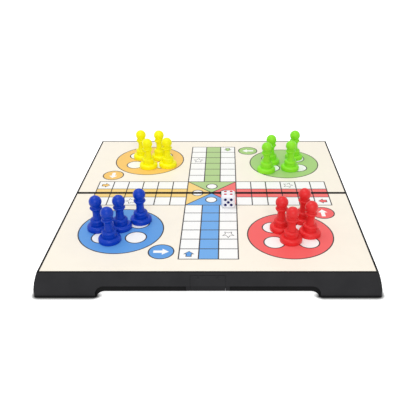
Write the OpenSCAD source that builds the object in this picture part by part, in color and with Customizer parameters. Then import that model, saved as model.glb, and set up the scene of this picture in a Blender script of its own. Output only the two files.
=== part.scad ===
// Folding magnetic ludo board: two hinged half trays, printed steel decks, sixteen pawns and a die.
// Millimetres. The origin is on the table at the centre of the opened board, +Z up, the player at -Y.

/* [Board] */
// Width and depth of the opened board at the foot of its wall
board_w = 250; // [230:1:280]
// Height of the rim above the table
board_h = 19.5; // [18.5:0.5:22]
// How far the foot of the wall spreads out past the rim
flare = 4; // [3.5:0.5:5]
// Radius of the wall's bulging face
wall_r = 60; // [50:1:100]
// Plan radius of the tray's corners at the foot of its wall
corner_r = 2; // [1:0.5:4]
// Bevel of the lower edge of the wall
foot_bevel = 0.6; // [0.3:0.1:1]
// Thickness of the outer wall
wall_t = 2.4; // [2.2:0.1:3]
// Thickness of the deck under the steel plate
deck_t = 1.8; // [1.4:0.1:2.2]
// Width of the bare rim round each printed sheet
rim_w = 1.3; // [1:0.1:2]
// Width of the bare rim along the seam
seam_rim = 1.4; // [1.2:0.1:2.4]
// Height of the rim above the printed sheet
rim_h = 0.15; // [0.05:0.05:0.4]
// Gap between the two halves at the seam
seam_gap = 0.4; // [0.3:0.1:0.8]
// Thickness of the wall along the seam
seam_t = 2; // [1.6:0.1:2.6]
// Thickness of the ribs under the deck
rib_t = 1.2; // [0.8:0.1:2]
// Depth of the ribs under the deck
rib_h = 2.5; // [1.5:0.5:4]
// Distance of the side ribs from the middle of the board
rib_x = 60; // [40:1:70]
// Distance between the ribs that run along the seam
rib_step = 38; // [30:1:45]

/* [Playing surface] */
// Thickness of the steel plate
steel_t = 0.4; // [0.3:0.05:0.6]
// Thickness of the printed film
film_t = 0.25; // [0.15:0.05:0.4]
// Gap between a plate and its recess
sheet_gap = 0.15; // [0.1:0.05:0.3]

/* [Finger arch] */
// Width of the arch at the table
arch_w = 161.5; // [120:0.5:190]
// Height of the arch in the outer skin of the wall
arch_h = 9.2; // [8:0.2:10]
// Radius of the upper corners of the arch
arch_r = 6.5; // [4:0.1:7.8]
// How far the band under the arch is set back
band_d = 1.5; // [0.8:0.1:1.6]
// Height of the clear gap under the band
gap_h = 4.5; // [4.4:0.1:5.2]
// Radius of the ends of the clear gap
gap_r = 7; // [5:0.5:16]
// How far each end of the clear gap lies inside the arch
gap_in = 0.6; // [0.3:0.1:2]
// Width of the flush tab at the middle of the arch
tab_w = 31.2; // [30:0.2:36]

/* [Hinges] */
// Distance of each hinge link from the rim
hinge_in = 39; // [30:1:50]
// Height of the hinge pins above the table
hinge_z = 4.2; // [3.9:0.1:4.6]
// Width of a hinge link
link_w = 8; // [6:0.5:12]
// Radius of the rounded ends of links and ears
link_r = 3.2; // [2.6:0.1:3.4]
// Height of a link between its rounded ends
link_h = 5; // [4:0.1:5.2]
// Radius of the hinge pins
pin_r = 1.2; // [0.8:0.1:1.4]
// Thickness of each hinge ear
ear_t = 3; // [2:0.5:4]
// Side gap between moving pieces
play = 0.3; // [0.25:0.05:0.4]
// Radial gap of a pin that turns
run_fit = 0.05; // [0.03:0.01:0.08]
// Radial gap of a pin that is held
held_fit = 0.02; // [0.01:0.01:0.03]

/* [Latch] */
// Width of the latch flap
flap_w = 25; // [22:0.5:25.5]
// Thickness of the latch flap
flap_t = 2.2; // [1.8:0.1:2.4]
// Gap above and behind the flap at rest
flap_gap = 0.2; // [0.15:0.05:0.3]
// Gap at each side of the flap
flap_side = 0.1; // [0.1:0.05:0.3]
// Radius of the barrel that the flap turns on
barrel_r = 1.6; // [1.4:0.05:1.7]
// Radius of the latch pin
latch_pin_r = 0.7; // [0.5:0.05:0.8]
// Length of the pin held in the tab at each end
pin_hold = 1.5; // [1:0.1:2]
// Bare wall left above the flap
flap_margin = 2.4; // [2.2:0.1:3]
// How far the flap's face lies inside the face of the wall
flap_inset = 0.05; // [0.05:0.05:0.2]
// Depth of the backing behind the tab
housing_d = 7.6; // [7:0.1:8.5]
// How far the backing reaches past the tab on each side
housing_side = 1; // [0.5:0.1:3]
// Radius of the nubs that the turned flap snaps over
nub_r = 1.3; // [1.1:0.05:1.5]
// Depth of each nub in the flap's dimple
nub_in = 0.35; // [0.2:0.05:0.5]
// Gap between a nub and its dimple
nub_gap = 0.1; // [0.05:0.05:0.15]
// Distance of each nub from the middle of the flap
nub_x = 7; // [5:0.5:9]
// Distance of the nubs from the flap's free end
nub_down = 1.4; // [1.2:0.1:1.8]
// Height of the catch tongue's foot above the table
tongue_z = 1; // [0.8:0.1:1.4]

/* [Pawns] */
// Radius of a pawn's base
base_r = 8.7; // [8.4:0.1:9]
// Radius of the lower edge of the base
base_foot = 0.5; // [0.3:0.1:0.8]
// Height of the upright side of the base
base_z = 2.2; // [1.8:0.1:2.6]
// Radius of the upper edge of the base
base_round = 2.2; // [1.8:0.1:2.4]
// Radius of the waist above the base
waist_r = 5.5; // [5.2:0.05:5.6]
// Height of the waist
waist_h = 3.5; // [2.8:0.1:4]
// Largest radius of the shoulder ring
shoulder_r = 5.75; // [5.65:0.05:6]
// Radius of the rounding of the shoulder ring
shoulder_round = 1.7; // [1.4:0.05:1.9]
// Radius of the neck at its thinnest
neck_r = 3.1; // [2.8:0.1:3.3]
// Radius of the neck's hollow curve
neck_round = 24; // [18:1:30]
// Height of the neck's thinnest line above the shoulder ring
neck_rise = 6.6; // [6:0.1:7]
// Largest radius of the collar
collar_r = 4.85; // [4.6:0.05:5]
// Radius of the rounding of the collar
collar_round = 0.95; // [0.8:0.05:1.1]
// Height of the collar above the neck's thinnest line
collar_rise = 4.4; // [4:0.1:4.8]
// Height of the flare under the collar
collar_flare = 2.3; // [1.8:0.1:2.8]
// Radius between the collar and the head
throat_r = 3.8; // [3.4:0.05:4]
// Radius of the head
head_r = 5; // [4.7:0.05:5.2]
// Height of the head's centre above the collar
head_rise = 5.4; // [5:0.1:5.6]
// Radius of the magnet in the base
magnet_r = 6; // [4:0.1:6.2]
// Thickness of the magnet
magnet_t = 2.4; // [1.5:0.1:2.8]
// How far the magnet lies inside the foot of the base
magnet_up = 0.2; // [0.1:0.05:0.4]
// Radial gap round the magnet
magnet_gap = 0.05; // [0.03:0.01:0.1]
// Distance of each home circle's centre from the rim it is nearer to
home_in = 50.3; // [47:0.1:54]
// Distance of each home circle's centre from the rim beside it
home_side = 57.3; // [54:0.1:60]

/* [Die] */
// Width of the die
die_w = 12; // [10:0.5:14]
// Radius of the die's edges
die_r = 2.2; // [1.4:0.1:2.6]
// Distance of the die's rounded corners from its centre
die_corner = 8.4; // [8:0.1:9]
// Distance of the outer pips from the middle of a face
pip_step = 2.5; // [2.4:0.1:2.8]
// Radius of the ball that hollows a pip
pip_r = 1.7; // [1.3:0.1:1.9]
// Depth of a pip
pip_d = 0.55; // [0.2:0.05:0.6]
// Place of the die to the right of the board's middle
die_x = 14.9; // [10:0.1:30]
// Place of the die behind the board's middle
die_y = -22.8; // [-40:0.1:-12]

/* [Hidden] */
$fn = 96;
COLOURS = ["blue", "red", "yellow", "green"];
BOARD_NODES = [
    "front_tray", "rear_tray", "front_steel_plate", "rear_steel_plate", "front_print_sheet",
    "rear_print_sheet", "hinge_link_left", "hinge_link_right", "front_hinge_pin_left",
    "front_hinge_pin_right", "rear_hinge_pin_left", "rear_hinge_pin_right", "latch_flap", "latch_pin", "die"
];
PAWN_NODES = [for (colour = COLOURS) for (i = [1 : 4]) str(colour, "_pawn_", i)];
MAGNET_NODES = [for (colour = COLOURS) for (i = [1 : 4]) str(colour, "_magnet_", i)];

// How far cuts reach past a face, and joined shapes into each other
over = 1;
lap = 0.4;
half_w = board_w / 2;
rim_half = half_w - flare;
chord = norm([flare, board_h]);
chord_in = sqrt(wall_r * wall_r - chord * chord / 4);
arc_s = half_w - flare / 2 - chord_in * board_h / chord;
arc_z = board_h / 2 - chord_in * flare / chord;
rib_reach = rim_half - wall_t;
recess_d = steel_t + film_t + rim_h;
sheet_z = board_h - rim_h;
recess_z = board_h - recess_d;
under_z = recess_z - deck_t;
seam_y = seam_gap / 2;
seam_in = seam_y + seam_t;

hinge_x = rim_half - hinge_in;
hinge_y = hinge_z + seam_y;
ear_x = link_w / 2 + play + ear_t / 2;
hinge_pin_l = link_w + 2 * (play + ear_t);

pivot_z = gap_h + barrel_r + flap_gap;
pivot_s = face_s(pivot_z) - flap_inset - barrel_r;
round_z = pivot_z - lap;
flap_l = board_h - flap_margin - pivot_z;
turn_r = norm([face_s(gap_h) - flap_inset - pivot_s, gap_h - pivot_z]) + play;
latch_pin_l = flap_w + 2 * (flap_side + pin_hold);
housing_w = tab_w + 2 * housing_side;
housing_s = half_w - housing_d;

// The dimples of the resting flap, and the nubs that fill them when it is turned over the folded board
dimple_z = pivot_z + flap_l - nub_down;
dimple_s = face_s(dimple_z) - flap_inset - nub_in + nub_r;
nub_s = 2 * pivot_s - dimple_s;
nub_z = dimple_z - 2 * pivot_z - seam_gap;
tongue_w = flap_w - 2 * over;

base_top = base_z + base_round;
shoulder_z = base_top + waist_h;
neck_z = shoulder_z + neck_rise;
collar_z = neck_z + collar_rise;
head_z = collar_z + head_rise;

// Where each pawn stands from the centre of its home circle, in base radii
STANDS = [
    [[-2.11, 0.3], [-0.68, -1.77], [-0.04, 0.41], [1.64, 1.67]],
    [[-0.83, 0.98], [-0.08, -0.97], [1.39, 2.53], [1.71, 0.11]],
    [[-0.94, 0.82], [0.09, -1.72], [1.13, 0.74], [2.23, -1.44]],
    [[-1.54, 0.21], [-2.18, -1.98], [1.25, 1.51], [0.51, -1.49]]
];
home_far = rim_half - home_in;
home_near = rim_half - home_side;
HOMES = [[-home_far, -home_near], [home_near, -home_far], [-home_near, home_far], [home_far, home_near]];
PAWN_PAINT = ["#0f3cc0", "#ee2a35", "#f8e800", "#7fd420"];

// Pips of each face on a grid of steps, from one to six, with the rows of the six spread apart
six_spread = 1.15;
PIPS = [
    [[0, 0]],
    [[-1, 1], [1, -1]],
    [[-1, 1], [0, 0], [1, -1]],
    [[-1, -1], [-1, 1], [1, -1], [1, 1]],
    [[-1, -1], [-1, 1], [0, 0], [1, -1], [1, 1]],
    [for (x = [-1, 1]) for (row = [-1, 0, 1]) [x, row * six_spread]]
];
// Turn that brings each numbered face to its side of the die
DIE_FACES = [[0, 90, 0], [-90, 0, 0], [180, 0, 0], [0, 0, 0], [90, 0, 0], [0, -90, 0]];

// Flat shapes drawn as distance from the board's middle against height

function face_s(z) = arc_s + sqrt(wall_r * wall_r - (z - arc_z) * (z - arc_z));

// What lies inside the wall's face by a depth or more
module wall_disc(depth) {
    translate([arc_s, arc_z]) circle(wall_r - depth);
}

module pivot_disc(r) {
    translate([pivot_s, pivot_z]) circle(r);
}

// Sweeps such a shape along X on the front side of the board
module along_front(length) {
    translate([-length / 2, 0, 0]) mirror([0, 1, 0]) rotate([90, 0, 90]) linear_extrude(length) children();
}

// Sweeps a shape in X and Z through the front wall, from one distance to another
module through_front(s0, s1) {
    translate([0, -s0, 0]) rotate([90, 0, 0]) linear_extrude(s1 - s0) children();
}

module x_rod(x0, length, y, z, r) {
    translate([x0, y, z]) rotate([0, 90, 0]) cylinder(h = length, r = r);
}

// Section from the board's middle to the wall, at a depth inside its face
module wall_section(depth, bevel, z0, z1) {
    foot_s = face_s(z0 + bevel);
    translate([0, z0]) square([arc_s, z1 - z0]);
    if (bevel > 0) translate([0, z0]) polygon([[0, 0], [foot_s - bevel, 0], [foot_s, bevel], [0, bevel]]);
    intersection() {
        wall_disc(depth);
        translate([0, z0 + bevel]) square([board_w, z1 - z0 - bevel]);
    }
}

// Half a board with that wall mitred round three sides and a flat end at the seam
module swelled_block(depth, bevel, z0, z1, end_y) {
    intersection() {
        along_front(board_w) wall_section(depth, bevel, z0, z1);
        through_front(end_y, half_w) {
            wall_section(depth, bevel, z0, z1);
            mirror([1, 0]) wall_section(depth, bevel, z0, z1);
        }
    }
}

module corner_cut() {
    for (side = [0, 1]) mirror([side, 0, 0])
        translate([half_w - corner_r, corner_r - half_w, -over]) linear_extrude(board_h) difference() {
            translate([0, -corner_r - over]) square(corner_r + over);
            circle(corner_r);
        }
}

// An arch whose ends are arcs that meet its level top
module arch_shape(w, h, r) {
    reach = h < r ? sqrt(h * (2 * r - h)) : r;
    if (h > r) translate([-w / 2, -over]) square([w, h - r + over]);
    translate([reach - w / 2, -over]) square([w - 2 * reach, h + over]);
    for (side = [-1, 1]) translate([side * (w / 2 - reach), h - r]) circle(r);
}

module finger_arch() {
    difference() {
        through_front(rim_half, half_w + over) arch_shape(arch_w, arch_h, arch_r);
        along_front(board_w) wall_disc(band_d);
        translate([-tab_w / 2, -half_w - 2 * over, 0]) cube([tab_w, flare + 3 * over, board_h]);
    }
    through_front(rim_half - over / 2, half_w + 2 * over) arch_shape(arch_w - 2 * gap_in, gap_h, gap_r);
}

// Rounds the foot of the tab about the latch pin
module tab_foot_cut() {
    along_front(tab_w) difference() {
        translate([pivot_s, gap_h - over]) square([flare + 2 * over, round_z - gap_h + over]);
        pivot_disc(barrel_r);
    }
}

module sheet_recess() {
    size_y = rim_half - rim_w - (seam_y + seam_rim);
    translate([-(rim_half - rim_w), -(rim_half - rim_w), recess_z])
        cube([2 * (rim_half - rim_w), size_y, recess_d + over]);
}

// Rounds the foot of the seam about the pins, so that the halves roll on each other
module seam_relief() {
    difference() {
        translate([-half_w - over, -hinge_y, -over]) cube([board_w + 2 * over, hinge_y + over, hinge_z + over]);
        x_rod(-half_w - 2 * over, board_w + 4 * over, -hinge_y, hinge_z, hinge_z);
    }
}

module hinge_ears() {
    for (side = [-1, 1]) for (end = [-1, 1]) {
        x0 = side * hinge_x + end * ear_x - ear_t / 2;
        x_rod(x0, ear_t, -hinge_y, hinge_z, link_r);
        translate([x0, -hinge_y - link_r, hinge_z]) cube([ear_t, hinge_y + link_r - seam_y - over, under_z + lap - hinge_z]);
    }
}

module hinge_cuts() {
    notch_w = link_w + 2 * play;
    for (side = [-1, 1]) {
        translate([side * hinge_x - notch_w / 2, -seam_in - over, -over])
            cube([notch_w, seam_in + 2 * over, hinge_z + link_r + play + over]);
        x_rod(side * hinge_x - hinge_pin_l / 2 - over, hinge_pin_l + 2 * over, -hinge_y, hinge_z, pin_r + held_fit);
    }
}

module deck_ribs() {
    for (row = [1, 2]) translate([-rib_reach, -row * rib_step - rib_t / 2, under_z - rib_h])
        cube([2 * rib_reach, rib_t, rib_h + lap]);
    for (side = [-1, 0, 1]) translate([side * rib_x - rib_t / 2, -rib_reach, under_z - rib_h])
        cube([rib_t, rib_reach - seam_y - over, rib_h + lap]);
}

module bare_shell() {
    difference() {
        swelled_block(0, foot_bevel, 0, board_h, seam_y);
        swelled_block(wall_t, 0, -over, under_z, seam_in);
        corner_cut();
    }
}

// Solid backing behind the tab, for the latch or its catch
module tab_housing() {
    along_front(housing_w) intersection() {
        translate([housing_s, gap_h]) square([housing_d, under_z + lap - gap_h]);
        wall_disc(wall_t / 2);
    }
}

module half_tray() {
    difference() {
        union() {
            bare_shell();
            hinge_ears();
            deck_ribs();
            tab_housing();
        }
        sheet_recess();
        finger_arch();
        tab_foot_cut();
        seam_relief();
        hinge_cuts();
    }
}

// Room for the flap at rest, and for its root as it turns over
module latch_pocket() {
    along_front(flap_w + 2 * flap_side) {
        difference() {
            intersection() {
                pivot_disc(flap_l + flap_gap);
                translate([arc_s, gap_h - over]) square([wall_r + over, board_h]);
            }
            wall_disc(flap_t + flap_gap);
        }
        pivot_disc(turn_r);
    }
}

module front_tray() {
    color("#2c2c2e") difference() {
        half_tray();
        latch_pocket();
        x_rod(-latch_pin_l / 2 - held_fit, latch_pin_l + 2 * held_fit, -pivot_s, pivot_z, latch_pin_r + held_fit);
    }
}

module latch_balls(s, z, r) {
    for (side = [-1, 1]) translate([side * nub_x, -s, z]) sphere(r);
}

// Tongue below the rear tab, with the nubs that the turned flap snaps over
module latch_catch() {
    translate([-tongue_w / 2, -nub_s, tongue_z]) cube([tongue_w, nub_s - housing_s, gap_h + lap - tongue_z]);
    latch_balls(nub_s, nub_z, nub_r);
}

module rear_tray() {
    color("#2c2c2e") mirror([0, 1, 0]) {
        half_tray();
        latch_catch();
    }
}

module deck_plate(z, thickness) {
    half_x = rim_half - rim_w - sheet_gap;
    near_y = seam_y + seam_rim + sheet_gap;
    translate([-half_x, -half_x, z]) cube([2 * half_x, half_x - near_y, thickness]);
}

module front_steel_plate() {
    color("silver") deck_plate(recess_z, steel_t);
}

module rear_steel_plate() {
    color("silver") mirror([0, 1, 0]) deck_plate(recess_z, steel_t);
}

module front_print_sheet() {
    color("#fbf3e4") deck_plate(recess_z + steel_t, film_t);
}

module rear_print_sheet() {
    color("#fbf3e4") mirror([0, 1, 0]) deck_plate(recess_z + steel_t, film_t);
}

module hinge_link(side) {
    color("#2c2c2e") difference() {
        union() {
            for (end = [-1, 1]) x_rod(side * hinge_x - link_w / 2, link_w, end * hinge_y, hinge_z, link_r);
            translate([side * hinge_x - link_w / 2, -hinge_y, hinge_z - link_h / 2])
                cube([link_w, 2 * hinge_y, link_h]);
        }
        for (end = [-1, 1])
            x_rod(side * hinge_x - link_w / 2 - over, link_w + 2 * over, end * hinge_y, hinge_z, pin_r + run_fit);
    }
}

module hinge_link_left() {
    hinge_link(-1);
}

module hinge_link_right() {
    hinge_link(1);
}

module hinge_pin(side, y) {
    color("silver") x_rod(side * hinge_x - hinge_pin_l / 2, hinge_pin_l, y, hinge_z, pin_r);
}

module front_hinge_pin_left() {
    hinge_pin(-1, -hinge_y);
}

module front_hinge_pin_right() {
    hinge_pin(1, -hinge_y);
}

module rear_hinge_pin_left() {
    hinge_pin(-1, hinge_y);
}

module rear_hinge_pin_right() {
    hinge_pin(1, hinge_y);
}

// The flap follows the wall from its rounded root up, with a barrel there for the pin
module latch_flap() {
    color("#2c2c2e") difference() {
        along_front(flap_w) difference() {
            union() {
                pivot_disc(barrel_r);
                difference() {
                    intersection() {
                        pivot_disc(flap_l);
                        translate([arc_s, round_z]) square([wall_r, board_h]);
                        wall_disc(flap_inset);
                    }
                    wall_disc(flap_t);
                }
            }
            pivot_disc(latch_pin_r + run_fit);
        }
        latch_balls(dimple_s, dimple_z, nub_r + nub_gap);
    }
}

module latch_pin() {
    color("silver") x_rod(-latch_pin_l / 2, latch_pin_l, -pivot_s, pivot_z, latch_pin_r);
}

module disc_at(r, z, rounding) {
    translate([r - rounding, z]) circle(rounding);
}

// Half outline of a pawn: base, waist, shoulder ring, hollow neck, flared collar and ball head
module pawn_outline() {
    intersection() {
        square([base_r + over, head_z + head_r + over]);
        union() {
            disc_at(base_r, base_foot, base_foot);
            square([base_r - base_foot, base_z]);
            translate([0, base_foot]) square([base_r, base_z - base_foot]);
            disc_at(base_r, base_z, base_round);
            square([base_r - base_round, base_top]);
            square([waist_r, shoulder_z]);
            disc_at(shoulder_r, shoulder_z, shoulder_round);
            square([shoulder_r - shoulder_round, shoulder_z + shoulder_round]);
            difference() {
                square([neck_r + over, collar_z]);
                translate([neck_r + neck_round, neck_z]) circle(neck_round);
            }
            polygon([
                [0, collar_z - collar_flare],
                [neck_r + lap, collar_z - collar_flare],
                [collar_r, collar_z],
                [0, collar_z]
            ]);
            disc_at(collar_r, collar_z, collar_round);
            translate([0, collar_z]) square([collar_r - collar_round, collar_round]);
            translate([0, collar_z]) square([throat_r, head_rise - lap]);
            translate([0, head_z]) circle(head_r);
        }
    }
}

function stand(colour, i) = HOMES[colour] + base_r * STANDS[colour][i];

module pawn(colour, i) {
    color(PAWN_PAINT[colour]) translate(concat(stand(colour, i), sheet_z)) difference() {
        rotate_extrude() pawn_outline();
        translate([0, 0, -over]) cylinder(h = magnet_up + magnet_t + over, r = magnet_r + magnet_gap);
    }
}

module magnet(colour, i) {
    color("#4a4a4c") translate(concat(stand(colour, i), sheet_z + magnet_up)) cylinder(h = magnet_t, r = magnet_r);
}

module rounded_prism() {
    flat = die_w - 2 * die_r;
    linear_extrude(die_w, center = true) {
        square([die_w, flat], center = true);
        square([flat, die_w], center = true);
        for (x = [-1, 1]) for (y = [-1, 1]) translate([x, y] * flat / 2) circle(die_r);
    }
}

module die() {
    color("#f4f2ec") translate([die_x, die_y, sheet_z + die_w / 2]) difference() {
        intersection() {
            rounded_prism();
            rotate([90, 0, 0]) rounded_prism();
            rotate([0, 90, 0]) rounded_prism();
            sphere(die_corner);
        }
        for (number = [0 : 5]) rotate(DIE_FACES[number]) for (spot = PIPS[number])
            translate(concat(spot * pip_step, die_w / 2 + pip_r - pip_d)) sphere(pip_r);
    }
}

front_tray();
rear_tray();
front_steel_plate();
rear_steel_plate();
front_print_sheet();
rear_print_sheet();
hinge_link_left();
hinge_link_right();
front_hinge_pin_left();
front_hinge_pin_right();
rear_hinge_pin_left();
rear_hinge_pin_right();
latch_flap();
latch_pin();
die();
for (colour = [0 : 3]) for (i = [0 : 3]) {
    pawn(colour, i);
    magnet(colour, i);
}
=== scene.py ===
"""Dresses the folding ludo board: printed decks, moulded trays, pawns and a die on a pale studio floor."""
import math

import bmesh
import bpy
from mathutils import Matrix, Vector
from mathutils.geometry import delaunay_2d_cdt


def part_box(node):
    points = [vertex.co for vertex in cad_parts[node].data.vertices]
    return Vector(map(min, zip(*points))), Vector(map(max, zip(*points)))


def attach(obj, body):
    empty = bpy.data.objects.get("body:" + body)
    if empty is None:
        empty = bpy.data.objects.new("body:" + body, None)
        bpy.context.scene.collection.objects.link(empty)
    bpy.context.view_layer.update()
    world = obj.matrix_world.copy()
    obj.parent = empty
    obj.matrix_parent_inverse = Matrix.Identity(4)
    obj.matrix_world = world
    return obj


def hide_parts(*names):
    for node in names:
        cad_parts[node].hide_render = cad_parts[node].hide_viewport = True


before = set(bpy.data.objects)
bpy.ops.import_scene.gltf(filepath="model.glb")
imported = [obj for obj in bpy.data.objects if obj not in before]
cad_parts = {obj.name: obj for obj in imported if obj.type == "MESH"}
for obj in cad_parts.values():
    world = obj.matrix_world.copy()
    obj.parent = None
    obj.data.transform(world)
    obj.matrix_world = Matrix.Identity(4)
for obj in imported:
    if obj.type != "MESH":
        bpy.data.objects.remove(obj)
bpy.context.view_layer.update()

MM = 0.001
COLOURS = ("blue", "red", "yellow", "green")
PAWNS_EACH = 4

# The camera of the photograph, which looks straight along the board, cropped a little off its axis
CAMERA_PLACE = Vector((12.94, -443.55, 251.48)) * MM
CAMERA_PITCH = math.radians(29.173)
SENSOR = 36.0
IMAGE_SIZE = 416
FOCAL_PIXELS = 558.78
CROP_PIXELS = 18
CLIP_START = 0.01

# The printed track, in millimetres on the deck
CELL_ACROSS = 14.724
CELL_ALONG = 13.656
LANES = 3
CELLS = 6
LINE = 0.95
CROSS_HALF = LANES / 2 * CELL_ACROSS
ARM_END = CROSS_HALF + CELLS * CELL_ALONG
HOME = (-70.4, -63.4)
HOME_R = 34.0
SPOT_ASIDE = 13.2
SPOT_AHEAD = 10.9
SPOT_R = 8.6
START = (-35.6, -94.2)
START_R = 10.0
GOAL_Y = -12.4
GOAL_R = 5.3
# How far each half of the print is moved away from the seam
SEAM_PART = 0.48

# Length, head width, shaft width and head length of the arrow in a start circle and of the one in a cell
START_ARROW = (11.6, 8.0, 3.2, 5.0)
CELL_ARROW = (6.4, 6.0, 3.2, 3.0)
CELL_ARROW_LINE = 1.3

# The star, which is so many cells from the end of its arm
STAR_POINTS = 5
STAR_R = 4.1
STAR_LINE = 0.55
STAR_CELLS = 2.5

# How the print is divided: a circle's points, the least gap of two points, and filling inside outlines
RING_POINTS = 96
POINT_GAP = 1e-5
FILL_INSIDE = 1

# Inks of the print: its ground, its lines, the circles and arrows, and the paler lanes
INKS = {
    "cream": (252, 244, 229),
    "white": (252, 252, 250),
    "line": (52, 46, 48),
    "blue": (94, 158, 226),
    "yellow": (248, 200, 106),
    "green": (168, 208, 124),
    "red": (244, 100, 100),
    "pale_blue": (112, 172, 234),
    "pale_yellow": (248, 212, 130),
    "pale_green": (178, 208, 140),
    "pale_red": (246, 114, 112),
}
INK_NAMES = list(INKS)
# Zones in the order that quarter turns bring them to the player's side
QUARTERS = ("blue", "yellow", "green", "red")

PAWN_RGB = {"blue": (0, 59, 184), "red": (230, 46, 48), "yellow": (255, 248, 0), "green": (142, 232, 42)}

# The die and the paint in its hollows
PIP_STEP = 2.5
PIP_BALL = 1.7
PIP_DEPTH = 0.55
PIP_TURNS = 40
PIP_RINGS = 8
SIX_SPREAD = 1.15
PAINT_COAT = 0.015
PIPS = (
    ((0, 0),),
    ((-1, 1), (1, -1)),
    ((-1, 1), (0, 0), (1, -1)),
    ((-1, -1), (-1, 1), (1, -1), (1, 1)),
    ((-1, -1), (-1, 1), (0, 0), (1, -1), (1, 1)),
    tuple((x, row * SIX_SPREAD) for x in (-1, 1) for row in (-1, 0, 1)),
)
# Axis and angle that bring each numbered face to its side of the die
DIE_FACES = (("Y", 90), ("X", -90), ("X", 180), ("X", 0), ("X", 90), ("Y", -90))
RED_NUMBERS = (1, 4)
BLUE_NUMBERS = (2, 3, 5, 6)

# Every finish: its slow drift in shade and roughness, its fine grain and its softened edges
DRIFT_MM = 12
DRIFT_DETAIL = 4
DRIFT_DARKEST = 0.3
DRIFT_LIGHTEST = 0.7
ROUGH_SPREAD = 0.12
GRAIN_DETAIL = 3
GRAIN_DEPTH = 0.05
EDGE_SAMPLES = 4

# Where shade is painted into the tray's colour: its rims, its foot, and the band and the tab of each finger
# arch
RIM_FROM = 19.2
FOOT_DARK = 0.6
FOOT_CLEAR = 2.6
BAND_HALF = 80.9
BAND_TOP = 9.3
BAND_FROM = 120.0
BAND_DEPTH = 0.75
TAB_HALF = 15.6
TAB_SHARE = 0.4
# How much of the plastic's colour is left where the painted shade is full
PAINTED_SHADE_TINT = 0.2
# The curve of the wall's section: its middle, outward and up, and its radius
WALL_CENTRE = (65.04, -2.14)
WALL_R = 60.0

# Sockets of a colour mix, which share their names with those of its other kinds
MIX_SHARE = 0
MIX_UNDER = 6
MIX_OVER = 7
MIX_RESULT = 2

# Light: the sky's strength, and the lamps' places and widths in metres
FULL_WHITE = (1.0, 1.0, 1.0, 1.0)
SKY_LIGHT = 0.55
KEY_PLACE = (-0.3, 0.15, 1.6)
KEY_WIDTH = 0.8
KEY_WATTS = 8.7
FILL_PLACE = (0.1, -1.7, 1.1)
FILL_WIDTH = 1.0
FILL_WATTS = 13.0

# The floor: half its width in metres, its finish, and the contact shadow that is painted on it
FLOOR_HALF = 12.0
FLOOR_ROUGH = 0.9
FLOOR_GLOW = 0.86
FLOOR_SHADE = 0.7
CONTACT_REACH = 3.5
CONTACT_POWER = 5.0
CONTACT_SAMPLES = 32


def add_object(name, data):
    """A new object in the scene."""
    obj = bpy.data.objects.new(name, data)
    bpy.context.collection.objects.link(obj)
    return obj


# Materials


def linear(rgb):
    """A screen colour of 0 to 255 as the linear colour that a shader takes."""
    def channel(c):
        c = c / 255
        return c / 12.92 if c <= 0.04045 else ((c + 0.055) / 1.055) ** 2.4
    return tuple(channel(c) for c in rgb) + (1.0,)


def shaded(rgb, share):
    """A screen colour as a linear one, made lighter or darker by a share."""
    return tuple(min(1, c * share) for c in linear(rgb)[:3]) + (1.0,)


def combined(tree, operation, first, second):
    """The result of a sum on a node's value and a second one, or a plain number."""
    node = tree.nodes.new("ShaderNodeMath")
    node.operation = operation
    tree.links.new(first, node.inputs[0])
    if isinstance(second, float):
        node.inputs[1].default_value = second
    else:
        tree.links.new(second, node.inputs[1])
    return node.outputs[0]


def noise(tree, size_mm, detail):
    """A noise whose marks have the given size on the object."""
    place = tree.nodes.new("ShaderNodeTexCoord")
    node = tree.nodes.new("ShaderNodeTexNoise")
    node.inputs["Scale"].default_value = 1 / (size_mm * MM)
    node.inputs["Detail"].default_value = detail
    tree.links.new(place.outputs["Object"], node.inputs["Vector"])
    return node.outputs["Fac"]


def drifting_colour(tree, drift, rgb, shade):
    """A colour that the drift makes a little darker and lighter."""
    ramp = tree.nodes.new("ShaderNodeValToRGB")
    ends = ramp.color_ramp.elements
    ends[0].position = DRIFT_DARKEST
    ends[1].position = DRIFT_LIGHTEST
    ends[0].color = shaded(rgb, 1 - shade)
    ends[1].color = shaded(rgb, 1 + shade)
    tree.links.new(drift, ramp.inputs["Fac"])
    return ramp.outputs["Color"]


def drifting_roughness(tree, drift, rough):
    """A roughness that the drift lowers and raises a little."""
    node = tree.nodes.new("ShaderNodeMapRange")
    node.inputs["To Min"].default_value = rough * (1 - ROUGH_SPREAD)
    node.inputs["To Max"].default_value = min(1.0, rough * (1 + ROUGH_SPREAD))
    tree.links.new(drift, node.inputs["Value"])
    return node.outputs["Result"]


def grained_normal(tree, grain_mm, grain, edge_mm):
    """A normal with a fine grain, rounded over the edges."""
    edge = tree.nodes.new("ShaderNodeBevel")
    edge.samples = EDGE_SAMPLES
    edge.inputs["Radius"].default_value = edge_mm * MM
    bump = tree.nodes.new("ShaderNodeBump")
    bump.inputs["Strength"].default_value = grain
    bump.inputs["Distance"].default_value = GRAIN_DEPTH * MM
    tree.links.new(noise(tree, grain_mm, GRAIN_DETAIL), bump.inputs["Height"])
    tree.links.new(edge.outputs["Normal"], bump.inputs["Normal"])
    return bump.outputs["Normal"]


def moulded(name, rgb, rough, grain_mm, grain, shade=0.06, specular=0.5, metallic=0.0, edge_mm=0.15):
    """A surface with a fine grain, a slow drift in shade and roughness, softened edges and a gloss."""
    mat = bpy.data.materials.new(name)
    mat.use_nodes = True
    tree = mat.node_tree
    shader = tree.nodes["Principled BSDF"]
    shader.inputs["Specular IOR Level"].default_value = specular
    shader.inputs["Metallic"].default_value = metallic
    drift = noise(tree, DRIFT_MM, DRIFT_DETAIL)
    tree.links.new(drifting_colour(tree, drift, rgb, shade), shader.inputs["Base Color"])
    tree.links.new(drifting_roughness(tree, drift, rough), shader.inputs["Roughness"])
    tree.links.new(grained_normal(tree, grain_mm, grain, edge_mm), shader.inputs["Normal"])
    return mat


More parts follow.
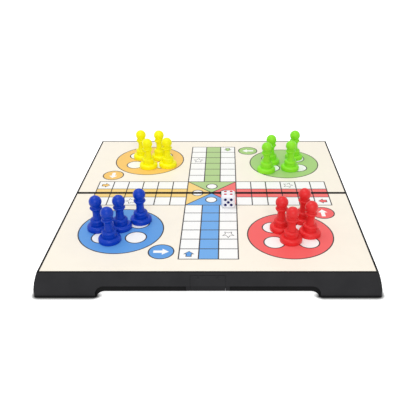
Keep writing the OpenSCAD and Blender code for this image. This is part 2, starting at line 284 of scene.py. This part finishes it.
def reach_in_wall(tree, aside):
    """The distance from the middle of the wall's curve, for a place whose axes all count as positive."""
    section = tree.nodes.new("ShaderNodeVectorMath")
    section.operation = "MULTIPLY"
    section.inputs[1].default_value = (0.0, 1.0, 1.0)
    tree.links.new(aside, section.inputs[0])
    from_middle = tree.nodes.new("ShaderNodeVectorMath")
    from_middle.operation = "SUBTRACT"
    from_middle.inputs[1].default_value = (0.0, WALL_CENTRE[0] * MM, WALL_CENTRE[1] * MM)
    tree.links.new(section.outputs["Vector"], from_middle.inputs[0])
    reach = tree.nodes.new("ShaderNodeVectorMath")
    reach.operation = "LENGTH"
    tree.links.new(from_middle.outputs["Vector"], reach.inputs[0])
    return reach.outputs["Value"]


def painted_shade_share(tree):
    """How much shade is painted on a tray's plastic, from 0 on its wall to 1 on its rims, foot and bands.
    """
    place = tree.nodes.new("ShaderNodeTexCoord")
    aside = tree.nodes.new("ShaderNodeVectorMath")
    aside.operation = "ABSOLUTE"
    tree.links.new(place.outputs["Object"], aside.inputs[0])
    axes = tree.nodes.new("ShaderNodeSeparateXYZ")
    tree.links.new(aside.outputs["Vector"], axes.inputs["Vector"])

    low = combined(tree, "LESS_THAN", axes.outputs["Z"], BAND_TOP * MM)
    outer = combined(tree, "GREATER_THAN", axes.outputs["Y"], BAND_FROM * MM)
    low_outer = combined(tree, "MULTIPLY", low, outer)
    in_arch = combined(tree, "LESS_THAN", axes.outputs["X"], BAND_HALF * MM)
    reach = reach_in_wall(tree, aside.outputs["Vector"])
    set_back = combined(tree, "LESS_THAN", reach, (WALL_R - BAND_DEPTH) * MM)
    band = combined(tree, "MULTIPLY", combined(tree, "MULTIPLY", in_arch, set_back), low_outer)
    in_tab = combined(tree, "LESS_THAN", axes.outputs["X"], TAB_HALF * MM)
    tab = combined(tree, "MULTIPLY", combined(tree, "MULTIPLY", in_tab, low_outer), TAB_SHARE)
    rim = combined(tree, "GREATER_THAN", axes.outputs["Z"], RIM_FROM * MM)
    # Painted shade towards the foot, standing in for the contact shadow
    foot = tree.nodes.new("ShaderNodeMapRange")
    foot.inputs["From Min"].default_value = FOOT_CLEAR * MM
    foot.inputs["From Max"].default_value = FOOT_DARK * MM
    tree.links.new(axes.outputs["Z"], foot.inputs["Value"])
    share = foot.outputs["Result"]
    for part in (band, tab, rim):
        share = combined(tree, "MAXIMUM", share, part)
    return share


def paint_tray_shade(mat):
    """Paints shade into a tray's plastic, darker on its rims, its foot, and the band and the tab of its
    finger arch.
    """
    tree = mat.node_tree
    shader = tree.nodes["Principled BSDF"]
    plain = shader.inputs["Base Color"].links[0].from_socket
    # The painted shade: a darker copy of the plastic's colour, mixed in by the share
    painted_shade = tree.nodes.new("ShaderNodeMix")
    painted_shade.data_type = "RGBA"
    painted_shade.blend_type = "MULTIPLY"
    painted_shade.inputs[MIX_OVER].default_value = (PAINTED_SHADE_TINT, PAINTED_SHADE_TINT, PAINTED_SHADE_TINT, 1.0)
    tree.links.new(painted_shade_share(tree), painted_shade.inputs[MIX_SHARE])
    tree.links.new(plain, painted_shade.inputs[MIX_UNDER])
    tree.links.new(painted_shade.outputs[MIX_RESULT], shader.inputs["Base Color"])


TRAY = moulded(
    "tray_plastic", (46, 46, 48), rough=0.5, grain_mm=0.35, grain=0.5, shade=0.1, specular=0.08, edge_mm=0.3
)
# Paints shade into the tray's colour on its rims, foot, band and tab
paint_tray_shade(TRAY)
STEEL = moulded("tin_plate", (190, 190, 192), rough=0.34, grain_mm=0.2, grain=0.15, metallic=1.0)
PIN = moulded("drawn_wire", (185, 186, 190), rough=0.26, grain_mm=0.3, grain=0.1, metallic=1.0)
FERRITE = moulded("ferrite", (62, 61, 64), rough=0.62, grain_mm=0.15, grain=0.6, shade=0.12)
ENAMEL = moulded(
    "die_plastic", (241, 243, 248), rough=0.24, grain_mm=1.2, grain=0.06, shade=0.015, specular=0.4
)
PIP_RED = moulded("pip_red", (206, 34, 56), rough=0.35, grain_mm=0.4, grain=0.2, specular=0.2)
PIP_BLUE = moulded("pip_blue", (14, 14, 96), rough=0.35, grain_mm=0.4, grain=0.2, specular=0.2)
PAWN_PLASTIC = {
    name: moulded("pawn_" + name, rgb, rough=0.34, grain_mm=0.8, grain=0.12, shade=0.03, specular=0.24)
    for name, rgb in PAWN_RGB.items()
}
INK = {
    name: moulded(
        "ink_" + name, rgb, rough=0.4, grain_mm=0.6, grain=0.12, shade=0.012, specular=0.25, edge_mm=0.05
    )
    for name, rgb in INKS.items()
}


# The print


def ring(x, y, r):
    """A circle as a polygon."""
    steps = (2 * math.pi * i / RING_POINTS for i in range(RING_POINTS))
    return [(x + r * math.cos(a), y + r * math.sin(a)) for a in steps]


def block(x0, y0, x1, y1):
    """A rectangle between two corners."""
    return [(x0, y0), (x1, y0), (x1, y1), (x0, y1)]


def upright(x, y0, y1):
    """A line of the track away from the player."""
    return block(x - LINE / 2, y0 - LINE / 2, x + LINE / 2, y1 + LINE / 2)


def level(y, x0, x1):
    """A line of the track across the player's view."""
    return block(x0 - LINE / 2, y - LINE / 2, x1 + LINE / 2, y + LINE / 2)


def stroke(p, q, width):
    """A straight line of the given width from p to q."""
    along = Vector(q) - Vector(p)
    side = Vector((-along.y, along.x)).normalized() * width / 2
    corners = (Vector(p) - side, Vector(q) - side, Vector(q) + side, Vector(p) + side)
    return [tuple(c) for c in corners]


def star(x, y, outer, inner):
    """A star with one of its points towards the player."""
    points = []
    for i in range(2 * STAR_POINTS):
        r = outer if i % 2 == 0 else inner
        a = math.pi * i / STAR_POINTS - math.pi / 2
        points.append((x + r * math.cos(a), y + r * math.sin(a)))
    return points


def arrow(x, y, sizes, grow=0.0, turn=0.0):
    """An arrow centred on x, y that points up the page, grown for its outline and turned anticlockwise."""
    length, head_w, shaft_w, head_l = sizes
    tip = (length + grow) / 2
    neck = tip - (head_l + grow)
    head = head_w / 2 + grow
    shaft = (shaft_w + grow) / 2
    outline = [
        (-shaft, -tip), (shaft, -tip), (shaft, neck), (head, neck), (0, tip), (-head, neck), (-shaft, neck),
    ]
    c = math.cos(turn)
    s = math.sin(turn)
    return [(x + u * c - v * s, y + u * s + v * c) for u, v in outline]


def outlined(shape, colour, grow):
    """A shape drawn in line ink with a smaller copy of it in colour on top."""
    return [(shape(grow), "line"), (shape(0), colour)]


def outlined_ring(x, y, r, colour):
    """A disc in colour with a line round it."""
    return [(ring(x, y, r), "line"), (ring(x, y, r - LINE), colour)]


def quarter_print(colour):
    """What is printed on the player's quarter, in painting order."""
    w = CELL_ACROSS
    h = CELL_ALONG
    art = []
    art.append((block(-CROSS_HALF, -ARM_END, CROSS_HALF, -CROSS_HALF), "white"))
    art.append((block(-w / 2, -ARM_END, w / 2, -CROSS_HALF), "pale_" + colour))
    for column in range(LANES + 1):
        art.append((upright((column - LANES / 2) * w, -ARM_END, -CROSS_HALF), "line"))
    for row in range(CELLS + 1):
        art.append((level(-CROSS_HALF - row * h, -CROSS_HALF, CROSS_HALF), "line"))

    arrow_y = -ARM_END + h / 2
    art += outlined(lambda g: arrow(-w, arrow_y, CELL_ARROW, grow=g), colour, CELL_ARROW_LINE)
    star_y = -ARM_END + STAR_CELLS * h
    art += outlined(lambda g: star(w, star_y, STAR_R + 2 * g, STAR_R / 2 + g), "white", STAR_LINE)

    art += outlined_ring(*HOME, HOME_R, colour)
    art += outlined_ring(*START, START_R, colour)
    art.append((arrow(*START, START_ARROW, turn=-math.pi / 2), "white"))
    return art


def centre_print(colour):
    """The player's triangle of the middle square, in painting order."""
    c = CROSS_HALF
    art = [([(0, 0), (-c, -c), (c, -c)], "pale_" + colour)]
    art.append((stroke((0, 0), (-c, -c), LINE), "line"))
    art.append((stroke((0, 0), (c, -c), LINE), "line"))
    art.append((level(-c, -c, c), "line"))
    art += outlined_ring(0, GOAL_Y, GOAL_R, "white")
    return art


def quarter_turn(points, times):
    """Points turned clockwise about the middle of the board by quarters."""
    for _ in range(times):
        points = [(y, -x) for x, y in points]
    return points


def home_spots(home):
    """The four white spots of a home circle, which are not turned with it."""
    art = []
    for x in (-SPOT_ASIDE, SPOT_ASIDE):
        for y in (-SPOT_AHEAD, SPOT_AHEAD):
            art += outlined_ring(home[0] + x, home[1] + y, SPOT_R, "white")
    return art


def board_print(part):
    """The whole print, moved along the board by the given part."""
    art = []
    for draw in (quarter_print, centre_print):
        for times, colour in enumerate(QUARTERS):
            art += [(quarter_turn(points, times), ink) for points, ink in draw(colour)]
    for times in range(len(QUARTERS)):
        art += home_spots(quarter_turn([HOME], times)[0])
    return [([(x, y + part) for x, y in points], ink) for points, ink in art]


def inked_top(film, shapes, z):
    """Divides the first shape along the edges of all, each face in the ink of the last shape over it."""
    points = []
    loops = []
    for outline, _ in shapes:
        loops.append(list(range(len(points), len(points) + len(outline))))
        points += [Vector(p) for p in outline]
    found, _, faces, _, _, origins = delaunay_2d_cdt(points, [], loops, FILL_INSIDE, POINT_GAP, True)

    corners = [film.verts.new((p.x * MM, p.y * MM, z)) for p in found]
    for loop, origin in zip(faces, origins):
        if 0 in origin:
            face = film.faces.new([corners[i] for i in loop])
            face.material_index = INK_NAMES.index(shapes[max(origin)][1])
    bmesh.ops.delete(film, geom=[v for v in film.verts if not v.link_faces], context="VERTS")
    bmesh.ops.recalc_face_normals(film, faces=film.faces)
    if film.faces[0].normal.z < 0:
        bmesh.ops.reverse_faces(film, faces=film.faces)


def close_below(film, z):
    """Gives a flat film its edges and its underside."""
    rim = [e for e in film.edges if e.is_boundary]
    skirt = bmesh.ops.extrude_edge_only(film, edges=rim)["geom"]
    for v in (g for g in skirt if isinstance(g, bmesh.types.BMVert)):
        v.co.z = z
    foot = [g for g in skirt if isinstance(g, bmesh.types.BMEdge) and g.is_boundary]
    bmesh.ops.contextual_create(film, geom=foot)


def print_sheet(name, body, art):
    """A film whose top is divided along the edges of its print, each piece in its ink."""
    low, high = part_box(name)
    ground = block(low.x / MM, low.y / MM, high.x / MM, high.y / MM)
    film = bmesh.new()
    inked_top(film, [(ground, "cream")] + art, high.z)
    close_below(film, low.z)
    mesh = bpy.data.meshes.new(name + "_film")
    film.to_mesh(mesh)
    film.free()
    for ink in INK_NAMES:
        mesh.materials.append(INK[ink])
    obj = add_object(name + "_film", mesh)
    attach(obj, body)
    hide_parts(name)


# The die's pips


def line_hollow(paint, on_die):
    """Lines one hollow with paint, ring by ring from its bottom, each point placed by on_die."""
    rim_angle = math.acos((PIP_BALL - PIP_DEPTH) / PIP_BALL)
    r = (PIP_BALL - PAINT_COAT) * MM
    bottom = paint.verts.new(on_die(Vector((0, 0, -r))))
    previous = None
    for k in range(1, PIP_RINGS + 1):
        a = rim_angle * k / PIP_RINGS
        current = []
        for i in range(PIP_TURNS):
            t = 2 * math.pi * i / PIP_TURNS
            out = Vector((math.sin(a) * math.cos(t), math.sin(a) * math.sin(t), -math.cos(a)))
            current.append(paint.verts.new(on_die(out * r)))
        for i in range(PIP_TURNS):
            j = (i + 1) % PIP_TURNS
            if previous is None:
                paint.faces.new((bottom, current[i], current[j]))
            else:
                paint.faces.new((previous[j], previous[i], current[i], current[j]))
        previous = current


def pip_paint(numbers, name, mat):
    """Paint that lines the hollows of the die's faces with these numbers."""
    low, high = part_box("die")
    middle = (low + high) / 2
    half = (high.z - low.z) / 2
    paint = bmesh.new()
    for number in numbers:
        axis, degrees = DIE_FACES[number - 1]
        face = Matrix.Rotation(math.radians(degrees), 4, axis)
        for u, v in PIPS[number - 1]:
            ball = Vector((u * PIP_STEP * MM, v * PIP_STEP * MM, half + (PIP_BALL - PIP_DEPTH) * MM))
            line_hollow(paint, lambda d: face @ (ball + d) + middle)
    for f in paint.faces:
        f.smooth = True
    mesh = bpy.data.meshes.new(name)
    paint.to_mesh(mesh)
    paint.free()
    mesh.materials.append(mat)
    obj = add_object(name, mesh)
    coat = obj.modifiers.new("coat", "SOLIDIFY")
    coat.thickness = PAINT_COAT * MM
    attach(obj, "loose_die")


# Dressing the CAD nodes


def dress(node, mat):
    """Gives a CAD node one material."""
    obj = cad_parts[node]
    obj.data.materials.clear()
    obj.data.materials.append(mat)


def dress_nodes():
    """Gives every CAD node but the printed sheets its material."""
    for node in ("front_tray", "rear_tray", "hinge_link_left", "hinge_link_right", "latch_flap"):
        dress(node, TRAY)
    for half in ("front", "rear"):
        dress(half + "_steel_plate", STEEL)
        dress(half + "_hinge_pin_left", PIN)
        dress(half + "_hinge_pin_right", PIN)
    dress("latch_pin", PIN)
    dress("die", ENAMEL)
    for colour in COLOURS:
        for i in range(1, PAWNS_EACH + 1):
            dress(f"{colour}_pawn_{i}", PAWN_PLASTIC[colour])
            dress(f"{colour}_magnet_{i}", FERRITE)


# Floor, light and camera


def seen_directly(tree):
    """1 for what the camera sees, straight or in metal and glass, and 0 for light on the object."""
    path = tree.nodes.new("ShaderNodeLightPath")
    mirrored = combined(tree, "MAXIMUM", path.outputs["Is Glossy Ray"], path.outputs["Is Transmission Ray"])
    return combined(tree, "MAXIMUM", path.outputs["Is Camera Ray"], mirrored)


def floor_material():
    """White for the camera and in reflections, with the lamps' real shadow, and with a contact shadow
    painted into its glow and colour where the object comes near.
    """
    mat = bpy.data.materials.new("studio_floor")
    mat.use_nodes = True
    tree = mat.node_tree
    shader = tree.nodes["Principled BSDF"]
    shader.inputs["Roughness"].default_value = FLOOR_ROUGH
    shader.inputs["Specular IOR Level"].default_value = 0.0
    shader.inputs["Emission Color"].default_value = FULL_WHITE
    # Painted contact shadow: the glow and the floor's colour are darkened where the object comes within the
    # contact reach
    contact = tree.nodes.new("ShaderNodeAmbientOcclusion")
    contact.samples = CONTACT_SAMPLES
    contact.inputs["Distance"].default_value = CONTACT_REACH * MM
    left_by_painted_shadow = combined(tree, "POWER", contact.outputs["AO"], CONTACT_POWER)
    shown = combined(tree, "MULTIPLY", seen_directly(tree), left_by_painted_shadow)
    glow = combined(tree, "MULTIPLY", shown, FLOOR_GLOW)
    tree.links.new(glow, shader.inputs["Emission Strength"])
    shade = combined(tree, "MULTIPLY", left_by_painted_shadow, FLOOR_SHADE)
    tree.links.new(shade, shader.inputs["Base Color"])
    return mat


def make_floor():
    """A wide flat floor at the foot of the board."""
    mesh = bpy.data.meshes.new("floor")
    corners = [(x, y, 0) for x, y in block(-FLOOR_HALF, -FLOOR_HALF, FLOOR_HALF, FLOOR_HALF)]
    mesh.from_pydata(corners, [], [range(len(corners))])
    mesh.materials.append(floor_material())
    obj = add_object("floor", mesh)


def make_world():
    """A plain white sky, dimmer for the light that falls on the object than for the camera."""
    world = bpy.data.worlds.new("studio")
    bpy.context.scene.world = world
    world.use_nodes = True
    tree = world.node_tree
    sky = tree.nodes["Background"]
    sky.inputs["Color"].default_value = FULL_WHITE
    sky.inputs["Strength"].default_value = SKY_LIGHT
    white = tree.nodes.new("ShaderNodeBackground")
    white.inputs["Color"].default_value = FULL_WHITE
    mix = tree.nodes.new("ShaderNodeMixShader")
    tree.links.new(seen_directly(tree), mix.inputs["Fac"])
    tree.links.new(sky.outputs["Background"], mix.inputs[1])
    tree.links.new(white.outputs["Background"], mix.inputs[2])
    tree.links.new(mix.outputs["Shader"], tree.nodes["World Output"].inputs["Surface"])


def soft_box(name, place, width, watts):
    """A square studio lamp of the given width that faces the middle of the board."""
    data = bpy.data.lights.new(name, "AREA")
    data.shape = "SQUARE"
    data.size = width
    data.energy = watts
    lamp = add_object(name, data)
    lamp.location = place
    lamp.rotation_euler = (-Vector(place)).to_track_quat("-Z", "Y").to_euler()


def make_lamps():
    """A key lamp over the board and a fill lamp on the player's side."""
    soft_box("key", KEY_PLACE, KEY_WIDTH, KEY_WATTS)
    soft_box("fill", FILL_PLACE, FILL_WIDTH, FILL_WATTS)


def make_camera():
    """The camera of the photograph."""
    data = bpy.data.cameras.new("camera")
    data.sensor_width = SENSOR
    data.lens = SENSOR * FOCAL_PIXELS / IMAGE_SIZE
    data.clip_start = CLIP_START
    data.shift_x = -CROP_PIXELS / IMAGE_SIZE
    camera = add_object("camera", data)
    camera.location = CAMERA_PLACE
    camera.rotation_euler = (math.pi / 2 - CAMERA_PITCH, 0, 0)
    bpy.context.scene.camera = camera


make_camera()
dress_nodes()
print_sheet("front_print_sheet", "front_half", board_print(-SEAM_PART))
print_sheet("rear_print_sheet", "rear_half", board_print(SEAM_PART))
pip_paint(RED_NUMBERS, "die_red_pips", PIP_RED)
pip_paint(BLUE_NUMBERS, "die_blue_pips", PIP_BLUE)
make_floor()
make_world()
make_lamps()
bpy.context.scene.view_settings.view_transform = "Standard"
